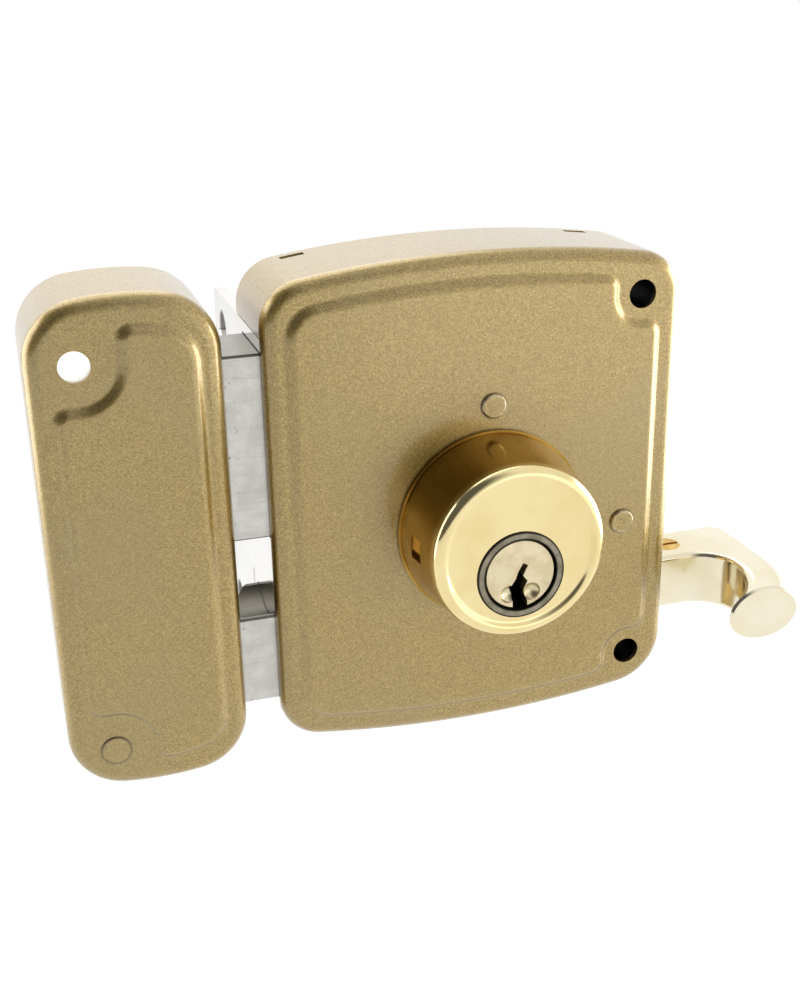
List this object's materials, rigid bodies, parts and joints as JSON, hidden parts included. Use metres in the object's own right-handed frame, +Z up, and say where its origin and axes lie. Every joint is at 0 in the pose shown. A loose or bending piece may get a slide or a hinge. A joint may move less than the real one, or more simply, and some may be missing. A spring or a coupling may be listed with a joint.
{
  "type": "rim box lock with keeper",
  "caption": "Surface-mounted door lock in champagne gold with a brass cylinder collar, a thrown deadbolt, a sprung latch, a brass pull handle and a matching keeper box",
  "frame": {"origin": "on the key's axis, in the plane of the door's face", "axes": "X from the keeper towards the pull handle, Y into the door, Z up"},
  "size_m": [0.1689, 0.0776, 0.1145],
  "materials": {
    "cover": "champagne gold paint with a fine metallic sparkle",
    "rivet_paint": "same paint, rivet heads painted with the case",
    "plate": "zinc-plated steel sheet",
    "forend": "bright polished plate",
    "bolt": "satin grey with small pits",
    "steel": "plain turned steel",
    "spring_steel": "spring steel, slightly dark",
    "collar": "polished brass, lathe-turned",
    "cylinder": "satin nickel",
    "plug": "warm nickel plate, speckled",
    "pins": "plain brass",
    "handle": "polished pale brass",
    "handle_screw": "polished brass"
  },
  "bodies": {
    "lock_case": {"case_front": "cover", "case_walls": "cover", "back_plate": "plate", "forend": "forend", "upper_pillar": "rivet_paint", "side_pillar": "rivet_paint", "screw_sleeves": "steel", "cylinder_collar": "collar", "cylinder_flange": "cylinder", "cylinder_body": "cylinder", "chamber_cap": "cylinder", "driver_pins": "pins", "collar_screws": "steel", "friction_spring": "spring_steel", "friction_spring_rivet": "steel", "latch_bracket": "plate", "bracket_rivets": "steel", "spring_rod": "steel", "latch_spring": "spring_steel"},
    "key_plug": {"key_plug": "plug", "key_pins": "pins", "plug_spacer": "steel", "drive_cam": "steel", "cam_clip": "spring_steel"},
    "deadbolt": {"deadbolt_head": "bolt", "deadbolt_tail": "plate", "deadbolt_dowels": "steel"},
    "latch": {"latch_head": "bolt", "latch_slide": "plate", "latch_pin": "steel", "pull_handle": "handle", "handle_screw": "handle_screw"},
    "keeper": {"keeper_front": "cover", "keeper_walls": "cover", "keeper_base": "plate", "keeper_strike": "plate", "keeper_sleeve": "steel"}
  },
  "joints": [
    {"name": "key_turn", "type": "hinge", "parent": "lock_case", "child": "key_plug", "pos_m": [0, -0.03, 0], "axis": [0, 1, 0], "range_deg": [0, 360]},
    {"name": "deadbolt_throw", "type": "slide", "parent": "lock_case", "child": "deadbolt", "axis": [1, 0, 0], "range_m": [0, 0.02]},
    {"name": "latch_draw", "type": "slide", "parent": "lock_case", "child": "latch", "axis": [1, 0, 0], "range_m": [0, 0.016], "stiffness_N_per_m": 600, "springref_m": -0.01, "deforming": ["latch_spring"]},
    {"name": "keeper_pull", "type": "slide", "parent": "lock_case", "child": "keeper", "axis": [-1, 0, 0], "range_m": [0, 0.03]}
  ],
  "couplings": [
    {"joint": "key_turn", "follows": "deadbolt_throw", "rad_per_m": 314.15}
  ]
}
